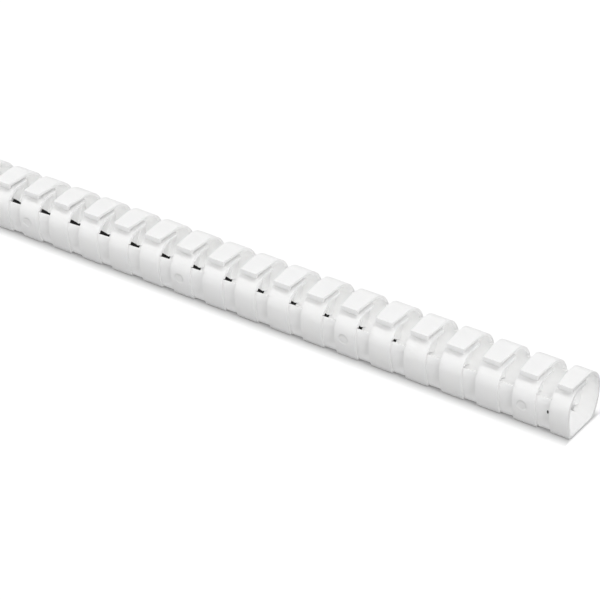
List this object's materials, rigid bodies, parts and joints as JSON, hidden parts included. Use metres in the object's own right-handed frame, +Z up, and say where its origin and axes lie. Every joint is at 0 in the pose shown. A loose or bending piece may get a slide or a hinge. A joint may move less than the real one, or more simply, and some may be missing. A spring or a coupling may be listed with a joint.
{
  "type": "cable spine",
  "caption": "Flexible cable duct moulded in one piece: a row of rings, each closed along its top by a flap over a lip, joined by thin necks so that it bends and cables press in.",
  "frame": {"origin": "centre of the footprint, on the underside that lies on the panel or desk", "axes": "+X along the duct towards its sawn end, +Y towards the wall that carries the flaps, +Z up and away from the surface it lies on"},
  "size_m": [0.4898, 0.0302, 0.029],
  "materials": {
    "white_polypropylene": "satin"
  },
  "bodies": {
    "root": {"duct_body": "white_polypropylene"}
  },
  "joints": []
}
